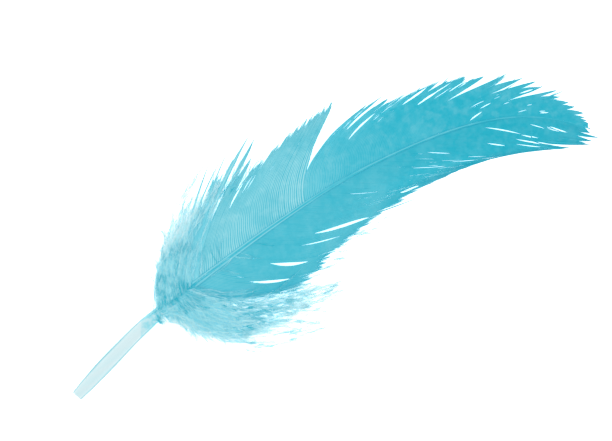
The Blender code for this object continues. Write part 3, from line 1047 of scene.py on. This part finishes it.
def make_studio():
    """A pale floor, an even white surround and one broad soft light."""
    mesh = bpy.data.meshes.new("floor")
    corners = [(x * FLOOR_HALF, y * FLOOR_HALF, 0) for x, y in ((-1, -1), (1, -1), (1, 1), (-1, 1))]
    mesh.from_pydata(corners, [], [(0, 1, 2, 3)])
    tree = Tree("floor_white", 0.9)
    grey = (FLOOR_GREY, FLOOR_GREY, FLOOR_GREY)
    tree.set(tree.shader, "Base Color", grey)
    tree.set(tree.shader, "Emission Color", grey)
    tree.set(tree.shader, "Emission Strength", FLOOR_GLOW)
    mesh.materials.append(tree.material)
    floor = put("floor", mesh)

    world = bpy.data.worlds.new("surround")
    world.use_nodes = True
    background = world.node_tree.nodes["Background"]
    background.inputs["Color"].default_value = (1.0, 1.0, 1.0, 1.0)
    background.inputs["Strength"].default_value = SURROUND
    bpy.context.scene.world = world

    lamp = bpy.data.lights.new("softbox", "AREA")
    lamp.shape = "DISK"
    lamp.size = LIGHT_SIZE
    lamp.energy = LIGHT_POWER
    light = put("softbox", lamp)
    light.location = LIGHT_AT
    light.rotation_mode = "QUATERNION"
    light.rotation_quaternion = (-Vector(light.location)).to_track_quat("-Z", "Y")
    bpy.context.scene.view_settings.view_transform = "Standard"


# ---- assembly

shaft_line = Shaft()
plumes = {name: Plume(name, shaft_line, **how) for name, how in PLUMES.items()}
make_camera(shaft_line)
make_studio()

make_shaft(shaft_line, shaft_material())

# Painted glow for each vane: its material gives off its own colour, 0.16 of it unless a last number says
# otherwise, lifting the shade between and under the barbs.
VANE_FINISH = {
    "left_down": vane_material("down_web_barbs", shaft_line, 0.75, 0.75, 0.3),
    "left_vane_base": vane_material("vane_base_barbs", shaft_line, 0.52, 0.85, 0.25, 0.12),
    "left_vane_tip": vane_material("vane_tip_barbs", shaft_line, 0.35, 0.3, 0.12),
    "right_vane": vane_material("right_vane_barbs", shaft_line, 0.14, 0.22, 0.06, 0.14),
}
for vane, look in VANES.items():
    barbs = Strands()
    add_vane(barbs, plumes[vane], look)
    stray = strays(plumes[vane].random, *look["strays"]) if "strays" in look else []
    add_loose(barbs, plumes[vane], look.get("loose", []) + stray)
    barbs.build("barbs_" + vane, VANE_FINISH[vane], [vane], crease=60)

DOWN_FINISH = down_material()

# Where the down lies: how far out it reaches, and how many barbs there are, by place.
LEFT_LIMIT = [(-0.1, 0.3), (0.08, 0.44), (0.36, 0.48), (0.5, 0.55), (0.65, 0.64), (0.85, 0.7), (1.4, 0.7)]
RIGHT_LIMIT = [(-0.1, 0.08), (0.15, 0.11), (0.24, 0.17), (0.33, 0.30), (0.41, 0.54), (0.53, 0.70),
               (0.63, 0.82), (0.75, 0.9), (1.5, 0.93)]
LEFT_BODY = dict(limit=LEFT_LIMIT, places=[(0.0, 1), (0.45, 1), (0.7, 0.3), (1.0, 0.05)])
LEFT_COVER = dict(limit=LEFT_LIMIT, places=[(0.0, 1), (0.42, 1), (0.7, 0.2), (1.0, 0.03)])
RIGHT_BODY = dict(
    limit=RIGHT_LIMIT, forward=1.15, places=[(-0.05, 0.4), (0.25, 1), (0.95, 1), (1.1, 0.7), (1.22, 0.1)])
RIGHT_COVER = dict(
    limit=RIGHT_LIMIT, forward=1.15, places=[(-0.05, 0.4), (0.25, 1), (0.85, 1), (1.05, 0.35), (1.25, 0.05)])

# Kinds of down. lengths and width are in millimetres.
UNDER = dict(starts=(0.0, 0.85), lengths=(8, 17), turning=0.11, layer=0.2, width=3.0, paleness=0.35)
UPPER = dict(starts=(0.0, 0.9), lengths=(7, 15), turning=0.16, layer=0.9, width=2.6, paleness=0.8)
HAZE = dict(starts=(0.2, 0.8), limit=[(0, 1.02), (1, 1.02)], lengths=(8, 18), turning=0.14,
            layer=0.4, width=3.0, paleness=1.0)
FRINGE = dict(limit=[(0, 1.35), (1, 1.35)], turning=0.13, layer=0.8, width=1.6, paleness=0.4, forward=0.0)
THROAT = dict(starts=(0.0, 0.05), lengths=(5, 11), turning=0.16, layer=1.0, at_shaft=1.0,
              crossing=(0.4, 1.9), width=2.2, paleness=0.7)
WISPS = {
    "left_down_under": ("left_down", dict(UNDER, **LEFT_BODY, count=300, barbules=24000)),
    "left_down_upper": ("left_down", dict(UPPER, **LEFT_COVER, count=300, barbules=22000)),
    "left_down_edge": ("left_down", dict(
        HAZE, limit=LEFT_LIMIT, places=[(0.3, 1), (1.15, 1)], starts=(0.55, 0.95), lengths=(5, 11), count=110,
        barbules=6500)),
    "left_down_haze": ("left_down", dict(
        HAZE, places=[(0, 1), (0.6, 1), (0.9, 0.3)], count=46, barbules=4600)),
    "left_throat": ("left_down", dict(
        THROAT, limit=LEFT_LIMIT, places=[(-0.1, 1), (0.5, 1), (0.8, 0.3)], count=60, barbules=4500)),
    "right_down_under": ("right_down", dict(UNDER, **RIGHT_BODY, count=380, barbules=27000)),
    "right_down_upper": ("right_down", dict(UPPER, **RIGHT_COVER, count=400, barbules=26000)),
    "right_down_haze": ("right_down", dict(
        HAZE, limit=[(0, 1.14), (1, 1.14)], places=[(0.3, 0.5), (0.5, 1), (0.9, 1), (1.1, 0.3)], count=130,
        barbules=11000)),
    "right_throat": ("right_down", dict(
        THROAT, limit=RIGHT_LIMIT, places=[(-0.45, 1), (0.5, 1), (0.9, 0.5)], forward=1.3, count=80,
        barbules=5000)),
    "left_vane_fringe": ("left_vane_base", dict(
        FRINGE, count=30, places=[(-0.05, 1), (0.15, 1), (0.3, 0.2)], starts=(0.42, 0.6), lengths=(4, 9),
        barbules=1800)),
    "right_vane_fringe": ("right_vane", dict(
        FRINGE, count=40, places=[(-0.02, 0.5), (0.05, 1), (0.2, 0.6)], starts=(0.6, 0.72), lengths=(3, 6),
        barbules=2300)),
    "right_vane_curls": ("right_vane", dict(
        FRINGE, count=11, places=[(0.04, 1), (0.14, 1)], starts=(0.46, 0.6), lengths=(6, 11), heading=-1.6,
        barbules=800)),
}
for name, (source, how) in WISPS.items():
    fluff = Strands()
    add_wisps(fluff, plumes[source], shaft_line, **how)
    fluff.build(name, DOWN_FINISH, [source])
